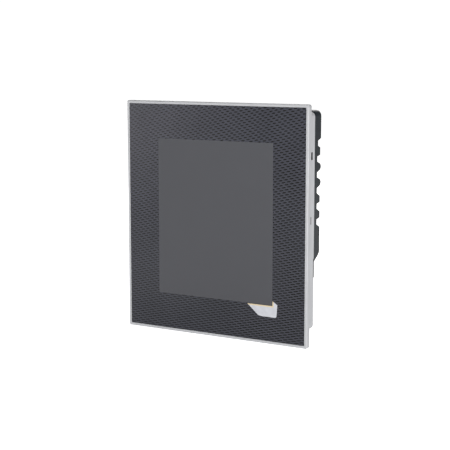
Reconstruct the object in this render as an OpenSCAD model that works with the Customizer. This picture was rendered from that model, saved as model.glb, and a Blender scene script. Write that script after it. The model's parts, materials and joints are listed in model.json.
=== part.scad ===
// Portrait operator panel for a control cabinet.
// X is the width, +Z is up and +Y points into the cabinet. The origin is the centre of the cut-out
// in the cabinet door, in the plane where the sealing ring meets it, so the screen faces -Y.

/* [Front] */
// Width of the front frame
panel_w = 161; // [157:1:170]
// Height of the front frame
panel_h = 181; // [179:1:190]
// Thickness of the front frame
frame_t = 4; // [4:0.5:6]
// Width of the bright rim round the printed foil
rim_w = 2.3; // [1.6:0.1:3]
// Thickness of the sealing ring
gasket_t = 1; // [0.8:0.1:1.5]
// Thickness of the printed foil
foil_t = 0.5; // [0.3:0.05:0.55]

/* [Screen] */
// Width of the clear window
window_w = 102; // [96:1:103]
// Height of the clear window
window_h = 122; // [116:1:124]

/* [Housing] */
// Width of the sheet metal tray, which passes through the cut-out
tray_w = 148; // [146:1:148]
// Height of the tray
tray_h = 163.6; // [162:0.2:164]
// Distance from the sealing plane to the back of the tray
tray_d = 17.5; // [17.5:0.5:19]
// Thickness of the sheet metal
sheet_t = 1.2; // [1:0.1:1.4]
// Length of a slot for a retaining clip
slot_l = 5.8; // [4:0.2:8]

/* [Rear cover] */
// Width of the moulded cover
cover_w = 146.4; // [145:0.2:146.8]
// Distance from the sealing plane to the back of the cover
cover_d = 29.4; // [29:0.2:31]
// Height of the top block and of the spine above the side fields
step_d = 1.2; // [0.8:0.1:1.3]
// Wall of the moulded cover
cover_wall = 2; // [1.8:0.1:2.2]
// Distance between two cooling grooves
groove_pitch = 11.86; // [11.6:0.02:11.9]
// Depth of a cooling groove
groove_depth = 6.1; // [4:0.1:6.5]
// Length of a cooling groove, from the side of the cover inwards
groove_l = 44; // [38:1:45]

/* [Hidden] */
$fn = 48;

// Front stack, from the glass side to the cabinet side
frame_y = -gasket_t;                  // back of the frame, against the sealing ring
front_y = frame_y - frame_t;          // outermost front face
foil_y = front_y + 0.6;               // floor of the recess that holds the foil
glass_t = 1.8;
glass_y = foil_y + glass_t;           // back of the touch glass
recess_w = panel_w - 2 * rim_w;
recess_h = panel_h - 2 * rim_w;
frame_z = -2;                         // the frame reaches further down than the tray
edge_r = 1;                           // rounding of the frame's front edges
window_z = -1.5;                      // height of the middle of the window
glass_w = 120;
glass_h = 142;
lcd_w = 110.6;
lcd_h = 132.6;
lcd_y = glass_y + 0.8;                // front of the display module
lcd_t = 6;
skin_t = 0.4;                         // sheet of the display module's bezel
carrier_y = lcd_y + lcd_t + 0.4;      // front of the steel plate behind the display
carrier_t = 1.2;
carrier_w = 128;
carrier_h = 154;
carrier_holes = [for (x = [-1, 1]) for (z = [-73, 0, 73]) [x * 59, z]];

// Tray and its cable bay
tray_r = 3;
rim_y = tray_d - sheet_t;             // inner face of the tray's back rim
opening_w = 124;
opening_top = 72;
opening_bottom = -27;                 // also the top of the cable bay
bay_w = 122;
bay_bottom = -72;
bay_y = 11.5;                         // floor of the cable bay, seen from the back
column_x = 67.5;
column_z = 75.3;
column_r = 3;
side_slots = [[49.6, 11.2, 4.3], [1.4, 11.5, 1.4]];   // height, depth and width of each side slot
end_slot_x = 42;
end_slot_y = 11.2;
guide_l = 3;                          // how far a slot's bush reaches behind the sheet
earth_x = 52;
earth_z = -62;
earth_l = 6;
earth_r = 2;                          // M4 thread, drawn as a plain bore

// Main board
board_y = 13;
board_t = 1.6;
board_back = board_y + board_t;
board_w = 120;
board_top = 70;
board_bottom = -26;
board_holes = [for (x = [-1, 1]) for (z = [-15, 26, 65]) [x * 56, z]];

// Rear cover
field_d = cover_d - step_d;           // back of the side fields between the grooves
cover_top = 83;
cover_r = 4.4;
cover_foot = -28.5;                   // outer face of the connector wall
slope_top = -24.3;
slope_y = 19.8;
ear_bottom = -42.4;
ear_screw_z = -36;
ear_t = 1.5;
ear_w = 11.2;
rebate = 0.8;                         // step in the tray's edge for the lip of an ear
wall_span = 122;                      // width of the flat connector wall
groove_count = 6;
groove_first = 58.5;
groove_floor = 3.8;
floor_y = cover_d - groove_depth;
first_shallow = 1.3;                  // the groove below the top block is less deep by this
spine_x = cover_w / 2 - groove_l;     // half width of the plain field in the middle
crest_r = 2.6;                        // rounded crest of the two tall ribs
tall_ribs = [1, 2];                   // counted from the top, starting with 0
tall_flank = 1.77;                    // run of their flanks, which meet the crest smoothly
crest_foot = 0.85;                    // height of that meeting above the crest's centre
top_flank = 1.7;
pocket_x = 50;
pocket_z = 77;
pocket_r = 3.6;
screw_r = 1.5;
vent_l = 7;
vent_h = 2;

// Connectors, all facing down out of the connector wall
pitch = 3.81;
mouth_z = cover_foot - 0.5;
power_x = -48;
power_ways = 3;
bus_x = -25;
bus_ways = 4;
header_h = 9.2;
header_l = 10;
header_wall = 1;
plug_gap = 0.2;
usb_x = [-1, 16];
usb_w = 14.4;
usb_h = 6.9;
usb_l = 14;
usb_skin = 0.4;
lan_x = 40;
lan_w = 16;
lan_h = 11.4;
lan_l = 16.5;

// Controls on the back of the cover
dial_x = 9;
dial_z = -8;
dial_r = 3.5;
reset_x = 21;
reset_r = 1.7;
led_x = -21;
led_z = [-3, -8, -13];
door_w = 32;
door_bottom = 44;
door_axis_z = 72;
door_axis_y = cover_d - 1.1;
door_knuckle_r = 1.1;
door_pin_r = 0.6;
cell_z = 58;
label_z = 18;

// Colours
aluminium = [0.80, 0.81, 0.83];
foil_grey = [0.27, 0.27, 0.29];
window_grey = [0.35, 0.36, 0.37];
sheet_grey = [0.74, 0.75, 0.77];
cover_grey = [0.21, 0.23, 0.24];
board_green = [0.07, 0.30, 0.16];
terminal_green = [0.16, 0.44, 0.22];
steel = [0.62, 0.63, 0.65];
black = [0.08, 0.08, 0.09];
gold = [0.80, 0.62, 0.25];

// ---- Shared shapes ----

module rounded_rect(w, h, r) {
    square([w - 2 * r, h], center = true);
    square([w, h - 2 * r], center = true);
    for (x = [-1, 1])
        for (z = [-1, 1])
            translate([x * (w / 2 - r), z * (h / 2 - r)]) circle(r);
}

// An upright plate between two depths, drawn from a flat outline in X and Z
module upright(y0, y1) {
    translate([0, y1, 0]) rotate([90, 0, 0]) linear_extrude(y1 - y0) children();
}

module plate(w, h, y0, y1, r = 0, x = 0, z = 0) {
    translate([x, 0, z])
        upright(y0, y1)
            if (r > 0) rounded_rect(w, h, r);
            else square([w, h], center = true);
}

// A box given by its lowest and highest corners
module block(low, high) {
    translate(low) cube(high - low);
}

// A round bar along Y
module rod(x, z, y0, y1, r) {
    translate([x, y1, z]) rotate([90, 0, 0]) cylinder(h = y1 - y0, r = r);
}

// A bar along X with a given outline in Y and Z
module bar_x(x0, x1, outline) {
    translate([x0, 0, 0]) rotate([90, 0, 90]) linear_extrude(x1 - x0) polygon(outline);
}

// A pan-head screw whose head stands on the face at depth y and whose shank runs towards -Y
module screw(x, z, y, length, head_r = 2.8, head_h = 1.8) {
    difference() {
        union() {
            rod(x, z, y - length, y + 0.01, screw_r - 0.05);
            rod(x, z, y, y + head_h, head_r);
        }
        for (turn = [0, 90])
            translate([x, y + head_h, z]) rotate([0, turn, 0])
                cube([head_r * 1.25, 2.2, 0.7], center = true);
    }
}

// Outline of a thin strip that follows a path of points in Y and Z
function normal2(a, b) = let (d = b - a) [-d[1], d[0]] / norm(d);
function corner_offset(path, i, t) =
    let (n = len(path),
         before = normal2(path[max(i - 1, 0)], path[max(i, 1)]),
         after = normal2(path[min(i, n - 2)], path[min(i + 1, n - 1)]),
         mean = before + after)
    path[i] + mean * t / (mean * mean);
function strip(path, t) = concat(
    [for (i = [0 : len(path) - 1]) corner_offset(path, i, t)],
    [for (i = [len(path) - 1 : -1 : 0]) corner_offset(path, i, -t)]);

// ---- Front ----

// Section of the frame with both front edges rounded: depth along X, width along Y
module eased(width) {
    translate([front_y, edge_r - width / 2]) square([frame_t, width - 2 * edge_r]);
    translate([front_y + edge_r, -width / 2]) square([frame_t - edge_r, width]);
    for (side = [-1, 1]) translate([front_y + edge_r, side * (width / 2 - edge_r)]) circle(edge_r);
}

module front_frame() {
    color(aluminium) {
        difference() {
            intersection() {
                plate(panel_w, panel_h, front_y, frame_y, 2, 0, frame_z);
                translate([0, 0, frame_z - panel_h / 2]) rotate([0, 0, 90])
                    linear_extrude(panel_h) eased(panel_w);
                translate([-panel_w / 2, 0, frame_z]) rotate([90, 0, 90])
                    linear_extrude(panel_w) eased(panel_h);
            }
            plate(recess_w, recess_h, front_y - 1, foil_y, 0.8, 0, frame_z);
            plate(glass_w + 0.6, glass_h + 0.6, foil_y - 1, glass_y, 2, 0, window_z);
            plate(lcd_w + 1.4, lcd_h + 1.4, glass_y - 1, frame_y + 1, 2, 0, window_z);
            // Way out for the touch ribbon
            block([25, glass_y, -77], [41, frame_y + 1, -66]);
        }
        for (p = carrier_holes) frame_boss(p[0], p[1], carrier_y, 2.9);
        for (x = [-1, 1])
            for (z = [-1, 1]) frame_boss(x * column_x, z * column_z, rim_y, column_r);
    }
}

// A tapped pillar on the back of the frame
module frame_boss(x, z, top, r) {
    difference() {
        rod(x, z, frame_y, top, r);
        rod(x, z, top - 5, top + 1, screw_r);
    }
}

module front_foil() {
    color(foil_grey)
        difference() {
            plate(recess_w - 0.2, recess_h - 0.2, foil_y - foil_t, foil_y, 0.7, 0, frame_z);
            plate(window_w, window_h, foil_y - 1, foil_y + 1, 0, 0, window_z);
        }
}

module display_window() {
    color(window_grey)
        plate(window_w - 0.04, window_h - 0.04, foil_y - foil_t + 0.03, foil_y, 0, 0, window_z);
}

// A blank plate that wraps round the lower corner of the window
module nameplate() {
    color([0.84, 0.83, 0.80])
        translate([window_w / 2, 0, window_z - window_h / 2])
            upright(foil_y - foil_t - 0.3, foil_y - foil_t)
                polygon([[-21.5, -0.3], [-12, -8.4], [-9.5, -9], [3, -9], [3.7, -8.2],
                    [4.4, 0.9], [0.3, 3.4], [0.3, -0.3]]);
}

module touch_glass() {
    color([0.42, 0.44, 0.45]) plate(glass_w, glass_h, foil_y, glass_y, 1.7, 0, window_z);
}

module touch_seal() {
    color(black)
        difference() {
            plate(109, 131, glass_y, lcd_y, 1, 0, window_z);
            plate(104, 125, glass_y - 1, lcd_y + 1, 1, 0, window_z);
        }
}

module sealing_ring() {
    color([0.30, 0.31, 0.32])
        difference() {
            plate(panel_w - 2, panel_h - 2, frame_y, 0, 1.5, 0, frame_z);
            plate(tray_w + 1, tray_h + 1, frame_y - 1, 1, tray_r + 0.5);
        }
}

// ---- Display module ----

module lcd_bezel() {
    color(steel)
        difference() {
            plate(lcd_w, lcd_h, lcd_y, lcd_y + lcd_t, 1, 0, window_z);
            plate(103, 123, lcd_y - 1, lcd_y + 1, 0, 0, window_z);
            plate(lcd_w - 2 * skin_t, lcd_h - 2 * skin_t, lcd_y + skin_t, lcd_y + lcd_t + 1, 0.6,
                0, window_z);
        }
}

module lcd_cell() {
    color([0.16, 0.17, 0.19])
        plate(lcd_w - 1.2, lcd_h - 1.2, lcd_y + skin_t, lcd_y + skin_t + 1.5, 0.5, 0, window_z);
}

light_y0 = lcd_y + skin_t + 1.6;
light_y1 = light_y0 + 2.8;

module light_guide() {
    color([0.90, 0.92, 0.93]) block([-53.5, light_y0, -63], [53.5, light_y1, 63.5]);
}

module led_strip() {
    color([0.93, 0.90, 0.70]) {
        block([-52, light_y0, -66.7], [52, light_y1, -65.5]);
        for (i = [-7 : 7])
            block([7 * i - 1.5, light_y0 + 0.4, -65.5], [7 * i + 1.5, light_y1 - 0.4, -63.4]);
    }
}

module backlight_tray() {
    color([0.92, 0.92, 0.91]) plate(lcd_w - 1.2, lcd_h - 1.2, light_y1, lcd_y + lcd_t, 0.5, 0, window_z);
}

module display_foam() {
    color(black)
        for (z = [-48, 48])
            block([-50, lcd_y + lcd_t, z - 6], [50, carrier_y, z + 6]);
}

module display_carrier() {
    color(steel)
        difference() {
            plate(carrier_w, carrier_h, carrier_y, carrier_y + carrier_t, 3);
            for (p = carrier_holes) rod(p[0], p[1], carrier_y - 1, carrier_y + 3, screw_r + 0.2);
            for (p = board_holes) rod(p[0], p[1], carrier_y - 1, carrier_y + 3, screw_r + 0.05);
            block([-38, carrier_y - 1, -80], [-8, carrier_y + 3, -69]);
            block([24, carrier_y - 1, -80], [42, carrier_y + 3, -69]);
        }
}

module carrier_screws() {
    color(steel)
        for (p = carrier_holes) screw(p[0], p[1], carrier_y + carrier_t, 5.5);
}

// Flat cables that leave the display, turn round the plate's lower edge and climb to the board
module ribbon(x, w, y0, z0, y_mid, z_low, z_end) {
    bend = min(2.2, (y_mid - y0) * 0.42);
    bar_x(x - w / 2, x + w / 2,
        strip([[y0, z0], [y0, z_low + bend], [y0 + bend, z_low], [y_mid - bend, z_low],
               [y_mid, z_low + bend], [y_mid, z_end]], 0.12));
}

module display_ribbon() {
    color([0.85, 0.85, 0.82]) ribbon(-23, 26, 4.36, -60, 8.2, -75.4, -21);
}

module touch_ribbon() {
    color([0.78, 0.55, 0.22]) ribbon(33, 14, -2.45, -69, 7.4, -75.4, -21);
}

module ribbon_sockets() {
    color([0.90, 0.89, 0.84]) {
        block([-37.5, 7.9, -21], [-8.5, board_y, -15.5]);
        block([24.5, 7.1, -21], [41.5, board_y, -15.5]);
    }
}

// ---- Tray ----

module housing_tray() {
    color(sheet_grey)
        difference() {
            plate(tray_w, tray_h, frame_y, tray_d, tray_r);
            tray_inside();
            opening();
            // Cable bay, cut from the back
            block([-bay_w / 2 + sheet_t, bay_y, bay_bottom + sheet_t],
                [bay_w / 2 - sheet_t, tray_d + 1, opening_bottom + 1]);
            at_slots() slot_box(0, -3, 3);
            for (x = [-1, 1]) {
                block([x * tray_w / 2 - rebate, tray_d - rebate, ear_bottom - 0.1],
                    [x * tray_w / 2 + rebate, tray_d + 1, cover_foot + 0.5]);
                for (z = [-1, 1]) rod(x * column_x, z * column_z, rim_y - 1, tray_d + 1, screw_r + 0.2);
                rod(x * column_x, ear_screw_z, rim_y - 1, tray_d + 1, screw_r);
                rod(x * pocket_x, pocket_z, rim_y - 1, tray_d + 1, screw_r);
            }
            rod(earth_x, earth_z, bay_y - 3, bay_y + 1, 3);
        }
}

// Places its children at each clip slot, with the slot's width along Y in $w, its length along Z
// and the tray's outer face at x = 0
module at_slots() {
    for (s = side_slots)
        for (side = [0, 1])
            mirror([side, 0, 0]) translate([tray_w / 2, s[1], s[0]]) {
                $w = s[2];
                children();
            }
    for (x = [-1, 1])
        for (side = [0, 1])
            mirror([0, 0, side])
                translate([x * end_slot_x, end_slot_y, tray_h / 2]) rotate([0, -90, 0]) {
                    $w = 3;
                    children();
                }
}

module slot_box(grow, x0, x1) {
    block([x0, -$w / 2 - grow, -slot_l / 2 - grow], [x1, $w / 2 + grow, slot_l / 2 + grow]);
}

// Dark plastic bush in each clip slot, held by its flange behind the sheet; it's closed at the
// inner end, so that no dust gets in
module clip_guides() {
    color(black)
        at_slots() difference() {
            union() {
                slot_box(-0.05, -sheet_t - guide_l, -0.05);
                slot_box(0.7, -sheet_t - 0.65, -sheet_t - 0.05);
            }
            slot_box(-0.4, -sheet_t - guide_l + 0.4, 1);
        }
}

// The hollow of the tray, with the bay's own walls and floor left standing
module tray_inside() {
    difference() {
        plate(tray_w - 2 * sheet_t, tray_h - 2 * sheet_t, frame_y - 1, rim_y, tray_r - sheet_t);
        block([-bay_w / 2, bay_y - sheet_t, bay_bottom], [bay_w / 2, tray_d, opening_bottom]);
    }
}

module opening() {
    block([-opening_w / 2, bay_y - sheet_t - 0.01, opening_bottom],
        [opening_w / 2, tray_d + 1, opening_top]);
}

module tray_screws() {
    color(steel)
        for (x = [-1, 1])
            for (z = [-1, 1]) screw(x * column_x, z * column_z, tray_d, 5.5, 2.7);
}

// Tapped spacer in the bay for the functional earth wire
module earth_terminal() {
    color([0.78, 0.66, 0.36])
        difference() {
            union() {
                rod(earth_x, earth_z, bay_y - sheet_t, bay_y, 2.95);
                translate([earth_x, bay_y + earth_l - sheet_t, earth_z]) rotate([90, 0, 0])
                    cylinder(h = earth_l - sheet_t, r = 4.2, $fn = 6);
            }
            rod(earth_x, earth_z, bay_y - 3, bay_y + earth_l + 1, earth_r);
        }
}

// ---- Board ----

module board_pillars() {
    color([0.80, 0.70, 0.42])
        for (p = board_holes) {
            difference() {
                translate([p[0], board_y, p[1]]) rotate([90, 0, 0])
                    cylinder(h = board_y - carrier_y - carrier_t, r = 3, $fn = 6);
                rod(p[0], p[1], board_y - 5, board_y + 1, screw_r);
            }
            rod(p[0], p[1], carrier_y + 0.2, carrier_y + carrier_t + 0.01, screw_r);
        }
}

module main_board() {
    color(board_green)
        difference() {
            block([-board_w / 2, board_y, board_bottom], [board_w / 2, board_back, board_top]);
            for (p = board_holes) rod(p[0], p[1], board_y - 1, board_back + 1, screw_r + 0.2);
        }
}

module board_screws() {
    color(steel)
        for (p = board_holes) screw(p[0], p[1], board_back, 5.5, 2.7);
}

module processor() {
    color(black) block([-48, board_back, 10], [-27, board_back + 1.2, 31]);
}

module heat_sink() {
    color([0.55, 0.56, 0.58])
        translate([-50, board_back + 1.2, 8]) {
            cube([25, 1.2, 25]);
            for (i = [0 : 7]) translate([i * 24 / 7, 1.2, 0]) cube([1, 2.6, 25]);
        }
}

module memory_chips() {
    color(black) {
        for (z = [10, 24]) block([20, board_back, z], [31, board_back + 1.1, z + 9]);
        block([36, board_back, 14], [48, board_back + 1.1, 32]);
        block([-46, board_back, 42], [-36, board_back + 1.4, 52]);
    }
}

module filter_capacitors() {
    color([0.70, 0.71, 0.73])
        for (p = [[-52, -2], [-44, -2], [-36, -2], [26, 42], [34, 42]])
            rod(p[0], p[1], board_back, board_back + 5.4, 3);
}

module power_coils() {
    color([0.22, 0.22, 0.24])
        for (x = [36, 46]) block([x - 4, board_back, 52], [x + 4, board_back + 4, 60]);
}

// ---- Connectors ----

module ethernet_port() {
    color([0.76, 0.77, 0.78])
        difference() {
            block([lan_x - lan_w / 2, board_back, mouth_z],
                [lan_x + lan_w / 2, board_back + lan_h, mouth_z + lan_l]);
            // Mouth for the plug, then the two steps for its latch
            block([lan_x - 5.9, board_back + 1.6, mouth_z - 1], [lan_x + 5.9, board_back + 8.4, mouth_z + 13]);
            block([lan_x - 3.1, board_back + 8, mouth_z - 1], [lan_x + 3.1, board_back + 9.5, mouth_z + 13]);
            block([lan_x - 1.8, board_back + 9, mouth_z - 1], [lan_x + 1.8, board_back + 10.4, mouth_z + 13]);
        }
}

module ethernet_contacts() {
    color(gold)
        for (i = [0 : 7])
            block([lan_x - 3.57 + i * 1.02 - 0.22, board_back + 1.61, mouth_z + 5],
                [lan_x - 3.57 + i * 1.02 + 0.22, board_back + 2.5, mouth_z + 12.9]);
}

module usb_port(x) {
    color([0.80, 0.81, 0.82])
        difference() {
            block([x - usb_w / 2, board_back, mouth_z], [x + usb_w / 2, board_back + usb_h, mouth_z + usb_l]);
            block([x - usb_w / 2 + usb_skin, board_back + usb_skin, mouth_z - 1],
                [x + usb_w / 2 - usb_skin, board_back + usb_h - usb_skin, mouth_z + usb_l - 2]);
        }
}

module usb_tongues() {
    color([0.92, 0.92, 0.90])
        for (x = usb_x)
            block([x - 5.5, board_back + usb_skin + 0.6, mouth_z + 1.6],
                [x + 5.5, board_back + usb_skin + 2.4, mouth_z + usb_l - 2]);
}

function ways_w(ways) = ways * pitch + 2;
function way_x(x, i, ways) = x + (i - (ways - 1) / 2) * pitch;
header_y1 = board_back + header_h;

module pin_header(x, ways) {
    w = ways_w(ways) + 2 * (header_wall + plug_gap);
    color(terminal_green)
        difference() {
            block([x - w / 2, board_back, mouth_z], [x + w / 2, header_y1, mouth_z + header_l]);
            block([x - w / 2 + header_wall, board_back + header_wall, mouth_z - 1],
                [x + w / 2 - header_wall, header_y1 - header_wall, mouth_z + header_l - 1.5]);
        }
}

module header_pins(x, ways) {
    color(gold)
        for (i = [0 : ways - 1])
            translate([way_x(x, i, ways), (board_back + header_y1) / 2, mouth_z + header_l - 4.7])
                cube([0.9, 0.9, 6.4], center = true);
}

// Removable screw plug: its nose fills the header, its body hangs below with the wire entries
module screw_plug(x, ways) {
    w = ways_w(ways);
    nose_y0 = board_back + header_wall + plug_gap;
    nose_y1 = header_y1 - header_wall - plug_gap;
    color(terminal_green)
        difference() {
            union() {
                block([x - w / 2, nose_y0, mouth_z - 0.5], [x + w / 2, nose_y1, mouth_z + header_l - 1.8]);
                block([x - w / 2, board_back - 0.2, mouth_z - 10.5],
                    [x + w / 2, header_y1 + 1.4, mouth_z - 0.3]);
            }
            for (i = [0 : ways - 1]) {
                at = way_x(x, i, ways);
                // Pin hole, wire entry and the hole for the clamping screw
                translate([at, (board_back + header_y1) / 2, mouth_z + header_l / 2 + 1])
                    cube([1.5, 1.5, header_l + 1], center = true);
                block([at - 1.35, board_back + 1.6, mouth_z - 11], [at + 1.35, board_back + 4.6, mouth_z - 3]);
                rod(at, mouth_z - 6, board_back + 6, header_y1 + 2, 1.5);
            }
            // Step along the back edge, where the fingers pull
            block([x - w / 2 - 1, header_y1 + 0.6, mouth_z - 11],
                [x + w / 2 + 1, header_y1 + 2, mouth_z - 9.4]);
        }
}

module plug_screws(x, ways) {
    color(steel)
        for (i = [0 : ways - 1])
            difference() {
                rod(way_x(x, i, ways), mouth_z - 6, board_back + 6, header_y1 + 0.6, 1.4);
                translate([way_x(x, i, ways), header_y1 + 0.6, mouth_z - 6])
                    cube([2.6, 1.4, 0.5], center = true);
            }
}

module power_header() { pin_header(power_x, power_ways); }
module power_pins() { header_pins(power_x, power_ways); }
module power_plug() { screw_plug(power_x, power_ways); }
module power_plug_screws() { plug_screws(power_x, power_ways); }
module bus_header() { pin_header(bus_x, bus_ways); }
module bus_pins() { header_pins(bus_x, bus_ways); }
module bus_plug() { screw_plug(bus_x, bus_ways); }
module bus_plug_screws() { plug_screws(bus_x, bus_ways); }

// ---- Controls, lamps and battery ----

switch_h = 5.5;
dial_seat = 1.5;

module switch_bodies() {
    color([0.10, 0.22, 0.42])
        for (x = [-dial_x, dial_x])
            difference() {
                block([x - 5, board_back, dial_z - 5], [x + 5, board_back + switch_h, dial_z + 5]);
                rod(x, dial_z, board_back + switch_h - dial_seat, board_back + switch_h + 1, dial_r + 0.05);
            }
}

module address_dial(x) {
    top = cover_d - 0.6;
    color([0.88, 0.87, 0.82])
        difference() {
            rod(x, dial_z, board_back + switch_h - dial_seat + 0.1, top, dial_r);
            translate([x, top, dial_z]) cube([1, 2, 5.2], center = true);
            translate([x, top + 1, dial_z + 1.4]) rotate([90, 0, 0]) cylinder(h = 2, r = 1.5, $fn = 3);
        }
}

module reset_switch() {
    color(black) block([reset_x - 3, board_back, dial_z - 3], [reset_x + 3, board_back + 3.5, dial_z + 3]);
}

module reset_button() {
    color([0.86, 0.86, 0.84]) {
        rod(reset_x, dial_z, board_back + 4.3, cover_d - 0.8, reset_r);
        rod(reset_x, dial_z, cover_d - cover_wall - 1.5, cover_d - cover_wall - 0.3, 2.6);
    }
}

module status_leds() {
    color([0.90, 0.92, 0.86])
        for (z = led_z) block([led_x - 0.8, board_back, z - 0.5], [led_x + 0.8, board_back + 0.7, z + 0.5]);
}

module light_pipes() {
    color([0.75, 0.85, 0.78])
        for (z = led_z) {
            rod(led_x, z, board_back + 0.8, cover_d + 0.2, 1);
            rod(led_x, z, cover_d - cover_wall - 1, cover_d - cover_wall - 0.05, 1.6);
        }
}

module battery_holder() {
    color(black)
        difference() {
            rod(0, cell_z, board_back, board_back + 4.4, 12);
            rod(0, cell_z, board_back + 1, board_back + 5, 10.2);
            block([-4, board_back + 1, cell_z - 13], [4, board_back + 5, cell_z - 8]);
        }
}

module battery_cell() {
    color([0.80, 0.81, 0.82]) {
        rod(0, cell_z, board_back + 1, board_back + 3.6, 10);
        rod(0, cell_z, board_back + 3.59, board_back + 4.2, 9.2);
    }
}

module battery_door() {
    y0 = cover_d - 1.6;
    color(cover_grey)
        difference() {
            union() {
                block([-door_w / 2, y0, door_bottom], [door_w / 2, cover_d, door_axis_z]);
                bar_knuckle(-door_w / 2, door_w / 2, door_knuckle_r);
                bar_knuckle(-door_w / 2 - 1.3, door_w / 2 + 1.3, door_pin_r);
            }
            // Grip ribs near the free edge
            for (i = [0 : 3])
                block([-8, cover_d - 0.4, door_bottom + 2.4 + 1.6 * i],
                    [8, cover_d + 1, door_bottom + 3.2 + 1.6 * i]);
        }
}

module bar_knuckle(x0, x1, r) {
    translate([x0, door_axis_y, door_axis_z]) rotate([0, 90, 0]) cylinder(h = x1 - x0, r = r);
}

// ---- Rear cover ----

// A groove has a flat floor; its flanks lean further beside a tall rib
function tall(rib) = len([for (r = tall_ribs) if (r == rib) 1]) > 0;
function upper_flank(i) = i == 0 ? top_flank : tall(i - 1) ? tall_flank : 1;
function lower_flank(i) = tall(i) ? tall_flank : i == 0 ? 1.6 : 2.4;
function groove_z(i) = groove_first - i * groove_pitch;
function groove_y(i) = floor_y + (i == 0 ? first_shallow : 0);
function rib_z(i) = groove_z(i) - groove_pitch / 2;
function rise(i, top) = (cover_d + 1 - groove_y(i)) / (top - groove_y(i));

module groove(i, grow) {
    z = groove_z(i);
    y = groove_y(i) - grow;
    half = groove_floor / 2 + grow;
    up = upper_flank(i) * rise(i, i == 0 ? cover_d : field_d);
    down = lower_flank(i) * rise(i, field_d);
    for (side = [-1, 1]) {
        inner = spine_x - grow;
        x0 = side > 0 ? inner : -cover_w / 2 - 5;
        x1 = side > 0 ? cover_w / 2 + 5 : -inner;
        bar_x(x0, x1, [[y, z + half], [y, z - half],
            [cover_d + 1, z - half - down], [cover_d + 1, z + half + up]]);
    }
}

module grooves(grow) {
    for (i = [0 : groove_count - 1]) groove(i, grow);
}

// Rounded crests of the tall ribs
module crests() {
    for (i = tall_ribs)
        for (side = [-1, 1])
            translate([side > 0 ? spine_x : -cover_w / 2, cover_d - crest_r, rib_z(i)])
                rotate([0, 90, 0]) cylinder(h = cover_w / 2 - spine_x, r = crest_r);
}

// Takes the flat top off the tall ribs, down to where the crest starts
module crest_room() {
    for (i = tall_ribs)
        for (side = [-1, 1])
            block([side > 0 ? spine_x : -cover_w / 2 - 1, cover_d - crest_r + crest_foot, rib_z(i) - 3.4],
                [side > 0 ? cover_w / 2 + 1 : -spine_x, cover_d + 1, rib_z(i) + 3.4]);
}

// The moulded shell, made smaller by the wall where it is used for the hollow
module cover_block(wall) {
    half = cover_w / 2 - wall;
    top = cover_top - wall;
    foot = cover_foot + 0.4 + wall;
    step_z = groove_z(0) + groove_floor / 2;
    intersection() {
        union() {
            bar_x(-half, half, [[tray_d - wall, top], [field_d - wall, top],
                [field_d - wall, slope_top + wall], [slope_y, foot], [tray_d - wall, foot]]);
            block([-half, tray_d, step_z + wall], [half, cover_d - wall, top]);
            bar_x(-spine_x + wall, spine_x - wall, [[tray_d - wall, top], [cover_d - wall, top],
                [cover_d - wall, slope_top + wall], [slope_y, foot], [tray_d - wall, foot]]);
        }
        union() {
            plate(2 * half, 60, tray_d - 3, cover_d + 1, cover_r - wall, 0, top - 30);
            block([-half, tray_d - 3, -50], [half, cover_d + 1, top - 30]);
        }
    }
}

// Flat wall over the cable bay, with the tongue that closes the gap down to the bay's floor
module connector_wall_block() {
    block([-wall_span / 2, tray_d, cover_foot], [wall_span / 2, field_d, slope_top + 1]);
    block([-spine_x, tray_d, cover_foot], [spine_x, cover_d, slope_top + 1]);
    block([-bay_w / 2 + sheet_t + 0.3, bay_y + 0.1, cover_foot],
        [bay_w / 2 - sheet_t - 0.3, tray_d + 0.01, cover_foot + 1.4]);
}

module port_cut(x, w, y1) {
    block([x - w / 2 - 0.25, board_y - 0.2, cover_foot - 1], [x + w / 2 + 0.25, y1 + 0.2, cover_foot + 4]);
}

// Feet of the cover beside the cable bay; a lip on each one fits the rebate in the tray's edge
module ears() {
    for (side = [-1, 1]) {
        mid = side * (cover_w / 2 - ear_w / 2);
        block([mid - ear_w / 2, tray_d, ear_bottom], [mid + ear_w / 2, tray_d + ear_t, slope_top - 1]);
        bar_x(mid - ear_w / 2, mid + ear_w / 2, [[tray_d + 1, slope_top], [field_d, slope_top],
            [field_d - 2.8, slope_top - 2.6], [field_d - 6.6, slope_top - 5],
            [slope_y, slope_top - 6.2], [tray_d + ear_t, slope_top - 7.4], [tray_d + 1, slope_top - 7.4]]);
        lip = side * (tray_w / 2 - rebate / 2);
        block([lip - rebate / 2 + 0.02, tray_d - rebate + 0.12, ear_bottom],
            [lip + rebate / 2, tray_d + 0.6, cover_foot + 0.4]);
        block([side * (cover_w / 2 - 0.2) - 0.8, tray_d, ear_bottom],
            [side * (cover_w / 2 - 0.2) + 0.8, tray_d + 0.6, cover_foot + 0.4]);
    }
}

module cover_shell() {
    difference() {
        union() {
            cover_block(0);
            connector_wall_block();
        }
        grooves(0);
        crest_room();
    }
    crests();
    ears();
}

module cover_hollow() {
    difference() {
        union() {
            cover_block(cover_wall);
            block([-wall_span / 2 + cover_wall, bay_y - 1, cover_foot + 1.4],
                [wall_span / 2 - cover_wall, field_d - cover_wall, slope_top + 3]);
        }
        grooves(cover_wall);
        for (x = [-1, 1]) rod(x * pocket_x, pocket_z, tray_d, cover_d, pocket_r + 1.4);
    }
}

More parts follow.
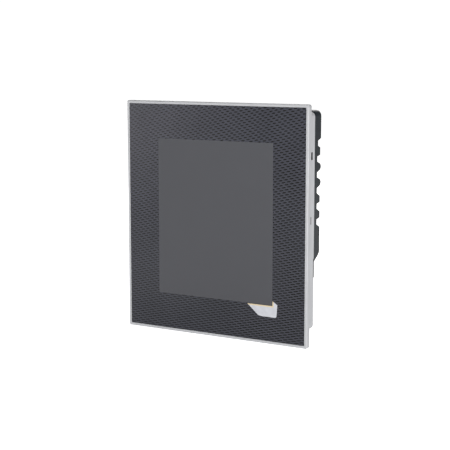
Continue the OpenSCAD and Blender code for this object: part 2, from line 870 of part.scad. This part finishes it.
module rear_cover() {
    color(cover_grey)
        difference() {
            cover_shell();
            cover_hollow();
            vents();
            for (x = [-1, 1]) {
                rod(x * pocket_x, pocket_z, tray_d - 1, cover_d + 1, screw_r + 0.2);
                rod(x * pocket_x, pocket_z, tray_d + 2.5, cover_d + 1, pocket_r);
                rod(x * column_x, ear_screw_z, tray_d - 1, cover_d, screw_r + 0.2);
                rod(x * dial_x, dial_z, 20, cover_d + 1, dial_r + 0.3);
            }
            port_cut(power_x, ways_w(power_ways) + 2.4, header_y1);
            port_cut(bus_x, ways_w(bus_ways) + 2.4, header_y1);
            for (x = usb_x) port_cut(x, usb_w, board_back + usb_h);
            port_cut(lan_x, lan_w, board_back + lan_h);
            rod(reset_x, dial_z, 20, cover_d + 1, reset_r + 0.3);
            for (z = led_z) rod(led_x, z, 20, cover_d + 1, 1.1);
            block([-door_w / 2 - 0.3, 20, door_bottom - 0.3],
                [door_w / 2 + 0.3, cover_d + 1, door_axis_z + 1.4]);
            bar_knuckle(-door_w / 2 - 1.5, door_w / 2 + 1.5, door_pin_r + 0.05);
            // Finger scoop below the battery door
            translate([0, cover_d + 3.2, door_bottom - 1]) rotate([0, 90, 0])
                cylinder(h = 14, r = 4.4, center = true);
        }
}

module vents() {
    count = 4;
    for (i = [0 : groove_count - 1])
        for (side = [-1, 1])
            for (k = [0 : count - 1]) {
                x = side * (cover_w / 2 - 8 - k * (vent_l + 3));
                block([x - vent_l / 2, floor_y - cover_wall - 1, groove_z(i) - vent_h / 2],
                    [x + vent_l / 2, cover_d, groove_z(i) + vent_h / 2]);
            }
}

module cover_screws() {
    color(steel)
        for (x = [-1, 1]) {
            screw(x * pocket_x, pocket_z, tray_d + 2.5, 5.5);
            screw(x * column_x, ear_screw_z, tray_d + ear_t, 4.5);
        }
}

module rating_label() {
    color([0.82, 0.83, 0.84]) plate(48, 34, cover_d, cover_d + 0.15, 1.5, 0, label_z);
}

// ---- Nodes ----

front_frame();
front_foil();
display_window();
nameplate();
touch_glass();
touch_seal();
sealing_ring();
lcd_bezel();
lcd_cell();
light_guide();
led_strip();
backlight_tray();
display_foam();
display_carrier();
carrier_screws();
display_ribbon();
touch_ribbon();
housing_tray();
clip_guides();
tray_screws();
earth_terminal();
board_pillars();
main_board();
board_screws();
processor();
heat_sink();
memory_chips();
filter_capacitors();
power_coils();
ribbon_sockets();
ethernet_port();
ethernet_contacts();
usb_port(usb_x[0]);  // usb_port_left
usb_port(usb_x[1]);  // usb_port_right
usb_tongues();
power_header();
power_pins();
power_plug();
power_plug_screws();
bus_header();
bus_pins();
bus_plug();
bus_plug_screws();
switch_bodies();
address_dial(-dial_x);  // address_dial_left
address_dial(dial_x);  // address_dial_right
reset_switch();
reset_button();
status_leds();
light_pipes();
battery_holder();
battery_cell();
battery_door();
rear_cover();
cover_screws();
rating_label();
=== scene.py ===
"""Looks for a portrait operator panel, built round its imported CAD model. All lengths are in metres."""
import json
import math

import bmesh
import bpy
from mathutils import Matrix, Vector


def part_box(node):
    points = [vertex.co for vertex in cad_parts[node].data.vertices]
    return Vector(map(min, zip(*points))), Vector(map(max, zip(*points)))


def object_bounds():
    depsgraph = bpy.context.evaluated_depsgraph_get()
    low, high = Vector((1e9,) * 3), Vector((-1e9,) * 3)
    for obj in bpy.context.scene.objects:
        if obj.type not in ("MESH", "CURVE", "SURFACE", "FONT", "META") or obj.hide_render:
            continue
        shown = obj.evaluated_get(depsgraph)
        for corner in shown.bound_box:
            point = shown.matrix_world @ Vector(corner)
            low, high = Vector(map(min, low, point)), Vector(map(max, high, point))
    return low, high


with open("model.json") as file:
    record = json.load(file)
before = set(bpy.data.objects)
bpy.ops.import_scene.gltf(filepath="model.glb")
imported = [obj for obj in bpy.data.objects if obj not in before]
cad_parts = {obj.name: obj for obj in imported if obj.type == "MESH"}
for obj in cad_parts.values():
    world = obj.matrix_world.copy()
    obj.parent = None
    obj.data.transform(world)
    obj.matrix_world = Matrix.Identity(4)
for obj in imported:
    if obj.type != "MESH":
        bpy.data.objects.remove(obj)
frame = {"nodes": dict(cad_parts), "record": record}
cad_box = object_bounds()
NODES = frame["nodes"]
SLOTS = {row["node"]: row["material_slot"] for row in frame["record"]["subparts"]}
MM = 0.001
ACROSS, DEEP, UP = (1.0, 0.0, 0.0), (0.0, 1.0, 0.0), (0.0, 0.0, 1.0)   # the row frame's X, Y and Z
WHITE = (1.0, 1.0, 1.0)
RANGE_SOCKETS = ("From Min", "From Max", "To Min", "To Max")


# ---- Materials ----

class Finish:
    """A procedural material. Patterns are drawn in the row frame, in millimetres."""

    def __init__(self, name, roughness=0.5, metallic=0.0, specular=0.5):
        self.material = bpy.data.materials.new("look_" + name)
        self.material.use_nodes = True
        self.tree = self.material.node_tree
        self.shader = self.tree.nodes["Principled BSDF"]
        self.set("Roughness", roughness)
        self.set("Metallic", metallic)
        self.set("Specular IOR Level", specular)
        coords = self.node("ShaderNodeTexCoord")
        scale = self.node("ShaderNodeVectorMath", operation="SCALE")
        scale.inputs["Scale"].default_value = 1 / MM
        self.link(coords.outputs["Object"], scale.inputs[0])
        self.place = scale.outputs[0]

    def node(self, kind, **settings):
        made = self.tree.nodes.new(kind)
        for key, value in settings.items():
            setattr(made, key, value)
        return made

    def link(self, source, target):
        self.tree.links.new(source, target)

    def set(self, socket, value):
        """A number, a colour or another node's output goes into a socket of the shader."""
        self.feed(value, self.shader.inputs[socket])

    def feed(self, value, target):
        if isinstance(value, bpy.types.NodeSocket):
            self.link(value, target)
        elif isinstance(value, tuple) and len(value) == 3 and target.type == "RGBA":
            target.default_value = (*value, 1.0)
        else:
            target.default_value = value

    def math(self, operation, *values):
        made = self.node("ShaderNodeMath", operation=operation)
        for value, target in zip(values, made.inputs):
            self.feed(value, target)
        return made.outputs[0]

    def dot(self, vector):
        """How far a point lies along a vector, in millimetres for a vector of length 1."""
        made = self.node("ShaderNodeVectorMath", operation="DOT_PRODUCT")
        self.link(self.place, made.inputs[0])
        made.inputs[1].default_value = vector
        return made.outputs["Value"]

    def stretched(self, factors):
        made = self.node("ShaderNodeVectorMath", operation="MULTIPLY")
        self.link(self.place, made.inputs[0])
        made.inputs[1].default_value = factors
        return made.outputs[0]

    def noise(self, size, detail=2.0, stretch=None):
        """Soft noise whose blotches are about size millimetres across."""
        made = self.node("ShaderNodeTexNoise")
        made.inputs["Scale"].default_value = 1.0 / size
        made.inputs["Detail"].default_value = detail
        self.link(self.stretched(stretch) if stretch else self.place, made.inputs["Vector"])
        return made.outputs["Fac"]

    def cells(self, size):
        """Rounded cells about size millimetres across."""
        made = self.node("ShaderNodeTexVoronoi")
        made.inputs["Scale"].default_value = 1.0 / size
        self.link(self.place, made.inputs["Vector"])
        return made.outputs["Distance"]

    def span(self, value, low, high, to_low=0.0, to_high=1.0, smooth=False):
        """A value from low to high, mapped to to_low to to_high and held there outside that range."""
        made = self.node("ShaderNodeMapRange", clamp=True)
        if smooth:
            made.interpolation_type = "SMOOTHSTEP"
        for socket, number in zip(RANGE_SOCKETS, (low, high, to_low, to_high)):
            made.inputs[socket].default_value = number
        self.link(value, made.inputs["Value"])
        return made.outputs["Result"]

    def mix(self, share, first, second):
        """The first colour where share is 0, the second where it is 1."""
        made = self.node("ShaderNodeMix", data_type="RGBA")
        for value, index in ((share, 0), (first, 6), (second, 7)):
            self.feed(value, made.inputs[index])
        return made.outputs[2]

    def tint(self, color, variation, size):
        """The colour, made a little darker and lighter in blotches of about size millimetres."""
        share = self.span(self.noise(size, 3.0), 0.3, 0.7)
        dark = tuple(c * (1 - variation) for c in color)
        light = tuple(min(1.0, c * (1 + variation)) for c in color)
        return self.mix(share, dark, light)

    def bump(self, height, depth):
        """Relief, depth in millimetres."""
        made = self.node("ShaderNodeBump")
        made.inputs["Strength"].default_value = 1.0
        made.inputs["Distance"].default_value = depth * MM
        self.link(height, made.inputs["Height"])
        self.link(made.outputs["Normal"], self.shader.inputs["Normal"])

    def vary_roughness(self, pattern, smooth, rough, low=0.3, high=0.7):
        """Roughness that follows a pattern, from smooth where it is low to rough where it is high."""
        self.set("Roughness", self.span(pattern, low, high, smooth, rough))


def moulded(name, color, roughness=0.55, grain=0.35, depth=0.03, specular=0.4, variation=0.08):
    """Injection-moulded plastic with an eroded surface."""
    finish = Finish(name, specular=specular)
    finish.set("Base Color", finish.tint(color, variation, 9.0))
    finish.vary_roughness(finish.noise(1.2, 3.0), roughness - 0.06, roughness + 0.06)
    finish.bump(finish.noise(grain, 2.0), depth)
    return finish.material


def sheet_metal(name, color, roughness=0.38):
    """Rolled or brushed metal with fine lines that run from left to right."""
    finish = Finish(name, metallic=1.0)
    finish.set("Base Color", finish.tint(color, 0.07, 14.0))
    lines = finish.noise(0.25, 3.0, stretch=(0.05, 1.0, 1.0))
    finish.vary_roughness(lines, roughness - 0.08, roughness + 0.1, 0.25, 0.75)
    finish.bump(lines, 0.008)
    return finish.material


def turned(name, color, roughness=0.3):
    """Plated or turned metal with small scuffs."""
    finish = Finish(name, metallic=1.0)
    finish.set("Base Color", finish.tint(color, 0.1, 2.0))
    finish.vary_roughness(finish.noise(0.5, 4.0), roughness - 0.1, roughness + 0.14, high=0.75)
    finish.bump(finish.noise(0.2, 2.0), 0.006)
    return finish.material


# The dashes' grid, as (across, up) in mm: the step down to the next row and the step along a row.
# A dash is a blurred ellipse that leans upwards to the right, with its half sizes in mm.
ROW_STEP, DASH_STEP = (2.41, -1.33), (4.53, 1.04)
DASH_LEAN = math.radians(8)
DASH_REACH_BOTTOM, DASH_REACH_TOP, DASH_HALF_HEIGHT = 2.25, 1.45, 0.50
FOIL_BOTTOM, FOIL_TOP, FOIL_LEFT = -78, 80, -78


def printed_foil():
    """Satin foil printed with rows of short dark dashes that climb to the right; the dashes fade toward
    the left as painted sheen.
    """
    finish = Finish("printed_foil", specular=0.35)

    def nearest(row, dash):
        """The offset from the nearest dash's middle, counted in grid steps."""
        steps = finish.dot((row, 0.0, dash))
        return finish.math("SUBTRACT", steps, finish.math("ROUND", steps))

    def weighed(operation, first, by, second, times):
        return finish.math(operation,
                           finish.math("MULTIPLY", first, by), finish.math("MULTIPLY", second, times))

    def squared_share(offset, half_size):
        return finish.math("POWER", finish.math("DIVIDE", offset, half_size), 2.0)

    area = ROW_STEP[0] * DASH_STEP[1] - ROW_STEP[1] * DASH_STEP[0]
    rows = nearest(DASH_STEP[1] / area, -DASH_STEP[0] / area)
    dashes = nearest(-ROW_STEP[1] / area, ROW_STEP[0] / area)
    dx = weighed("ADD", rows, ROW_STEP[0], dashes, DASH_STEP[0])
    dz = weighed("ADD", rows, ROW_STEP[1], dashes, DASH_STEP[1])
    length = weighed("ADD", dx, math.cos(DASH_LEAN), dz, math.sin(DASH_LEAN))
    height = weighed("SUBTRACT", dz, math.cos(DASH_LEAN), dx, math.sin(DASH_LEAN))
    reach = finish.span(finish.dot(UP), FOIL_BOTTOM, FOIL_TOP, DASH_REACH_BOTTOM, DASH_REACH_TOP)
    distance = finish.math("SQRT", finish.math(
        "ADD", squared_share(length, reach), squared_share(height, DASH_HALF_HEIGHT)))
    # Painted sheen: the dashes are made up to 8% fainter toward the left edge, standing in for the sheen
    # that lies over the left of the foil.
    painted_sheen_fade = finish.span(finish.dot(ACROSS), FOIL_LEFT, 30, 0.92, 1.0)
    ink_with_painted_sheen = finish.math("MULTIPLY", painted_sheen_fade, finish.span(distance, 0.86, 1.16, 1.0, 0.0, smooth=True))
    ground = finish.tint((0.0445, 0.0466, 0.0600), 0.10, 26.0)
    dash = finish.tint((0.001, 0.001, 0.002), 0.25, 7.0)
    finish.set("Base Color", finish.mix(ink_with_painted_sheen, ground, dash))
    finish.vary_roughness(finish.noise(30.0, 2.0), 0.21, 0.25)
    finish.bump(finish.noise(0.25, 2.0), 0.003)
    return finish.material


def tag_plastic():
    """Pale tag with a sand-coloured band along the edges next to the window."""
    finish = Finish("tag_plastic", roughness=0.4, specular=0.4)
    low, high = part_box("display_window")
    below = finish.math("SUBTRACT", low.z / MM, finish.dot(UP))
    beside = finish.math("SUBTRACT", finish.dot(ACROSS), high.x / MM)
    band = finish.span(finish.math("MAXIMUM", below, beside), 1.1, 1.5, 1.0, 0.0, smooth=True)
    body = finish.tint((0.60, 0.61, 0.65), 0.06, 3.0)
    finish.set("Base Color", finish.mix(band, body, (0.72, 0.60, 0.40)))
    finish.bump(finish.noise(0.5, 2.0), 0.01)
    return finish.material


def window_film():
    """Anti-glare film over a dark display."""
    finish = Finish("window_film", specular=0.35)
    finish.set("Base Color", finish.tint((0.0770, 0.0785, 0.0875), 0.02, 60.0))
    finish.vary_roughness(finish.noise(45.0, 1.0), 0.60, 0.64)
    finish.bump(finish.noise(0.12, 1.0), 0.002)
    return finish.material


def anodised():
    """Matt anodised aluminium."""
    finish = Finish("anodised", metallic=0.35)
    finish.set("Base Color", finish.tint((0.558, 0.563, 0.580), 0.04, 20.0))
    finish.vary_roughness(finish.noise(0.6, 3.0), 0.52, 0.62)
    finish.bump(finish.noise(0.18, 2.0), 0.008)
    return finish.material


SLOT_LENGTH = 5.8                                               # mm, along Z
SIDE_SLOTS = ((49.6, 11.2, 4.3, 0.8), (1.4, 11.5, 1.4, 0.5))    # height, depth, width, and width of the painted shade band along each long edge, in mm


def powder_coat():
    """Painted sheet with a near-black band of painted shade along both long edges of each side slot, which
    makes the slots look wider and darker.
    """
    finish = Finish("powder_coat", specular=0.45)
    paint = finish.tint((0.53, 0.535, 0.555), 0.035, 24.0)

    def off(axis, centre):
        return finish.math("ABSOLUTE", finish.math("SUBTRACT", finish.dot(axis), centre))

    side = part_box("housing_tray")[1].x / MM
    outer = finish.math("GREATER_THAN", finish.math("ABSOLUTE", finish.dot(ACROSS)), side - 1.0)
    for height, depth, width, line in SIDE_SLOTS:
        gap = finish.math("MAXIMUM",
                          finish.math("SUBTRACT", off(UP, height), SLOT_LENGTH / 2),
                          finish.math("SUBTRACT", off(DEEP, depth), width / 2 + line))
        # Painted shade: a near-black band along each long edge of a slot, standing in for the shade inside
        # the slot.
        painted_slot_shade = finish.math("MULTIPLY", outer, finish.math("LESS_THAN", gap, 0.0))
        paint = finish.mix(painted_slot_shade, paint, (0.010, 0.010, 0.011))
    finish.set("Base Color", paint)
    finish.vary_roughness(finish.noise(3.0, 3.0), 0.42, 0.52)
    finish.bump(finish.noise(0.7, 2.0), 0.02)
    return finish.material


def circuit_board():
    """Solder mask with darker copper runs showing through."""
    finish = Finish("circuit_board", roughness=0.32)
    bricks = finish.node("ShaderNodeTexBrick")
    finish.link(finish.place, bricks.inputs["Vector"])
    bricks.inputs["Scale"].default_value = 0.45
    bricks.inputs["Mortar Size"].default_value = 0.035
    bricks.inputs["Color1"].default_value = (0.012, 0.085, 0.035, 1)
    bricks.inputs["Color2"].default_value = (0.016, 0.11, 0.045, 1)
    bricks.inputs["Mortar"].default_value = (0.03, 0.19, 0.08, 1)
    blotches = finish.span(finish.noise(6.0, 4.0), 0.42, 0.58)
    finish.set("Base Color", finish.mix(blotches, bricks.outputs["Color"], (0.012, 0.095, 0.04)))
    finish.bump(bricks.outputs["Fac"], 0.03)
    return finish.material


def foam(name, color):
    """Closed-cell foam or soft rubber."""
    finish = Finish(name, roughness=0.85, specular=0.2)
    finish.set("Base Color", finish.tint(color, 0.2, 1.5))
    finish.bump(finish.cells(0.45), 0.08)
    return finish.material


def clear(name, color, roughness=0.12):
    """Glass or clear plastic that lets a little light through."""
    finish = Finish(name)
    finish.set("Base Color", finish.tint(color, 0.03, 8.0))
    finish.vary_roughness(finish.noise(4.0, 2.0), roughness, roughness + 0.08)
    finish.set("Transmission Weight", 0.35)
    return finish.material


LABEL_MARGIN, LABEL_LINE = 1.6, 0.16    # mm from the edge to the border line, and half its width


def label_film():
    """Blank silver film with a fine border line."""
    low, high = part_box("rating_label")
    middle = (low + high) / 2 / MM
    half = (high - low) / 2 / MM
    finish = Finish("label_film", metallic=0.55)
    inset = []
    for axis, centre, reach in ((ACROSS, middle.x, half.x), (UP, middle.z, half.z)):
        offset = finish.math("ABSOLUTE", finish.math("SUBTRACT", finish.dot(axis), centre))
        inset.append(finish.math("SUBTRACT", reach, offset))
    line = finish.math("COMPARE", finish.math("MINIMUM", *inset), LABEL_MARGIN, LABEL_LINE)
    ground = finish.tint((0.52, 0.525, 0.535), 0.05, 12.0)
    finish.set("Base Color", finish.mix(line, ground, (0.09, 0.09, 0.1)))
    finish.vary_roughness(finish.noise(2.0, 2.0), 0.36, 0.46)
    return finish.material


LOOKS = {
    "frame_aluminium": anodised(),
    "foil_print": printed_foil(),
    "window_film": window_film(),
    "tag_plastic": tag_plastic(),
    "panel_glass": clear("panel_glass", (0.30, 0.32, 0.33)),
    "black_foam": foam("black_foam", (0.012, 0.012, 0.013)),
    "seal_rubber": foam("seal_rubber", (0.022, 0.022, 0.024)),
    "plain_steel": sheet_metal("plain_steel", (0.50, 0.51, 0.53)),
    "screw_steel": turned("screw_steel", (0.58, 0.59, 0.61), 0.34),
    "lcd_glass": moulded("lcd_glass", (0.02, 0.021, 0.025), 0.2, 2.0, 0.004),
    "clear_acrylic": clear("clear_acrylic", (0.85, 0.88, 0.90)),
    "led_strip": moulded("led_strip", (0.80, 0.74, 0.42), 0.3, 1.0, 0.01),
    "white_plastic": moulded("white_plastic", (0.80, 0.80, 0.78), 0.45),
    "ribbon_white": moulded("ribbon_white", (0.70, 0.70, 0.66), 0.4, 0.8, 0.01),
    "ribbon_amber": moulded("ribbon_amber", (0.55, 0.27, 0.05), 0.25, 0.8, 0.01),
    "tray_paint": powder_coat(),
    "brass": turned("brass", (0.62, 0.45, 0.16), 0.32),
    "board_green": circuit_board(),
    "chip_plastic": moulded("chip_plastic", (0.006, 0.006, 0.007), 0.6, 0.3, 0.02, 0.12),
    "sink_aluminium": sheet_metal("sink_aluminium", (0.36, 0.37, 0.39), 0.42),
    "can_aluminium": turned("can_aluminium", (0.58, 0.59, 0.61), 0.28),
    "socket_plastic": moulded("socket_plastic", (0.74, 0.72, 0.64), 0.5),
    "port_steel": sheet_metal("port_steel", (0.64, 0.65, 0.66), 0.26),
    "contact_gold": turned("contact_gold", (0.75, 0.50, 0.14), 0.22),
    "terminal_green": moulded("terminal_green", (0.02, 0.16, 0.045), 0.42, 0.5, 0.02, 0.45),
    "switch_blue": moulded("switch_blue", (0.01, 0.04, 0.16), 0.42, 0.5, 0.02),
    "dial_plastic": moulded("dial_plastic", (0.66, 0.64, 0.55), 0.42, 0.5, 0.015),
    "button_plastic": moulded("button_plastic", (0.62, 0.62, 0.60), 0.42, 0.5, 0.015),
    "led_lens": clear("led_lens", (0.50, 0.68, 0.54), 0.2),
    "cell_steel": turned("cell_steel", (0.66, 0.66, 0.65), 0.24),
    "cover_plastic": moulded("cover_plastic", (0.0098, 0.0152, 0.0195), 0.42, 0.4, 0.02, 0.24, 0.12),
    "label_film": label_film(),
}
for name, piece in NODES.items():
    for place in piece.material_slots:
        place.material = LOOKS[SLOTS[name]]


# ---- Softened edges on the CAD pieces ----

# Width of each piece's bevel in mm
EDGES = {
    "front_frame": 0.12, "housing_tray": 0.7, "rear_cover": 0.5, "battery_door": 0.2,
    "nameplate": 0.12, "power_plug": 0.25, "bus_plug": 0.25, "power_header": 0.2,
    "bus_header": 0.2, "ethernet_port": 0.3, "tray_screws": 0.3, "cover_screws": 0.3,
    "address_dial_left": 0.2, "address_dial_right": 0.2, "reset_button": 0.3,
    "earth_terminal": 0.3,
}
for name, width in EDGES.items():
    piece = NODES[name]
    weld = piece.modifiers.new("weld", "WELD")
    weld.merge_threshold = 0.001 * MM
    flat = piece.modifiers.new("flat", "DECIMATE")
    flat.decimate_type = "DISSOLVE"
    flat.angle_limit = math.radians(0.4)
    bevel = piece.modifiers.new("bevel", "BEVEL")
    bevel.width = width * MM
    bevel.segments = 3
    bevel.limit_method = "ANGLE"
    bevel.angle_limit = math.radians(38)
    bevel.harden_normals = True


# ---- Stage ----

def link_object(name, data):
    made = bpy.data.objects.new(name, data)
    bpy.context.scene.collection.objects.link(made)
    return made


def area_light(name, place, target, width, height, power, color=WHITE):
    """A soft box of width by height metres, which the lens doesn't see."""
    light = bpy.data.lights.new(name, "AREA")
    light.shape = "RECTANGLE"
    light.size = width
    light.size_y = height
    light.energy = power
    light.color = color
    holder = link_object(name, light)
    holder.location = place
    holder.rotation_euler = (Vector(target) - Vector(place)).to_track_quat("-Z", "Y").to_euler()
    holder.visible_camera = False


def overhead_sun(strength):
    """A very wide, even light from above, which keeps the floor white and its shadows faint."""
    sun = bpy.data.lights.new("overhead", "SUN")
    sun.energy = strength
    sun.angle = math.radians(70)
    link_object("overhead", sun)


def stage_floor(height, reach):
    """A plain white floor. It glows a little, so that the lens sees it as white as the surroundings."""
    mesh = bpy.data.meshes.new("floor")
    build = bmesh.new()
    bmesh.ops.create_circle(build, cap_ends=True, segments=96, radius=reach)
    build.to_mesh(mesh)
    build.free()
    floor = link_object("floor", mesh)
    floor.location = (0.0, 0.0, height)
    finish = Finish("floor", roughness=0.9, specular=0.1)
    finish.set("Base Color", finish.tint((0.93, 0.93, 0.93), 0.01, 300.0))
    finish.set("Emission Color", WHITE)
    seen = finish.node("ShaderNodeLightPath").outputs["Is Camera Ray"]
    finish.set("Emission Strength", finish.span(seen, 0.0, 1.0, 0.40, 0.90))
    mesh.materials.append(finish.material)


def studio_world():
    """White surroundings. What the lens sees is pure white, and what lights the object is softer."""
    world = bpy.data.worlds.new("studio")
    bpy.context.scene.world = world
    world.use_nodes = True
    tree = world.node_tree
    background = tree.nodes["Background"]
    background.inputs["Color"].default_value = (1.0, 1.0, 1.0, 1.0)

    def shade(toward, start, stop, low, high):
        """A strength that goes from low to high as the direction turns toward a side of the room."""
        along = tree.nodes.new("ShaderNodeVectorMath")
        along.operation = "DOT_PRODUCT"
        along.inputs[1].default_value = toward
        tree.links.new(coords.outputs["Generated"], along.inputs[0])
        ramp = tree.nodes.new("ShaderNodeMapRange")
        for socket, number in zip(RANGE_SOCKETS, (start, stop, low, high)):
            ramp.inputs[socket].default_value = number
        tree.links.new(along.outputs["Value"], ramp.inputs["Value"])
        return ramp.outputs["Result"]

    coords = tree.nodes.new("ShaderNodeTexCoord")
    path = tree.nodes.new("ShaderNodeLightPath")
    room = tree.nodes.new("ShaderNodeMath")
    room.operation = "MULTIPLY"
    tree.links.new(shade(UP, 0.0, 0.8, 0.38, 0.16), room.inputs[0])
    tree.links.new(shade((-0.8, 0.6, 0.0), 0.0, 0.8, 1.0, 0.45), room.inputs[1])
    strength = tree.nodes.new("ShaderNodeMapRange")
    strength.inputs["To Max"].default_value = 1.05
    tree.links.new(path.outputs["Is Camera Ray"], strength.inputs["Value"])
    tree.links.new(room.outputs[0], strength.inputs["To Min"])
    tree.links.new(strength.outputs["Result"], background.inputs["Strength"])


FLOOR_REACH = 3.0
CENTRE = (0.0, 0.0, 0.0)
stage_floor(cad_box[0].z, FLOOR_REACH)
studio_world()
overhead_sun(0.2)
area_light("key_box", (0.85, -0.95, 0.30), CENTRE, 0.8, 0.8, 11.0)
area_light("left_box", (-0.89, -0.95, 0.10), CENTRE, 0.44, 0.40, 1.15, (1.0, 0.965, 1.0))
area_light("floor_box", (-0.24, -0.22, -0.088), (-0.24, -0.22, 1.0), 0.30, 0.26, 0.09)
area_light("right_box", (0.30, 0.42, -0.07), (0.07, 0.02, -0.03), 0.25, 0.03, 0.03)
area_light("rear_box", (-0.45, 1.0, 0.7), CENTRE, 0.7, 0.6, 5.0)

# The camera stands a little above the panel's middle, to the right, and looks slightly down
HEADING, TILT = math.radians(31.0), math.radians(8.19)
eye = bpy.data.cameras.new("camera")
eye.sensor_width = 36.0
eye.lens = 96.38
camera = link_object("camera", eye)
camera.location = (0.4770, -0.7827, 0.1262)
camera.rotation_euler = (math.pi / 2 - TILT, 0.0, HEADING)
bpy.context.scene.camera = camera
bpy.context.scene.view_settings.view_transform = "Standard"
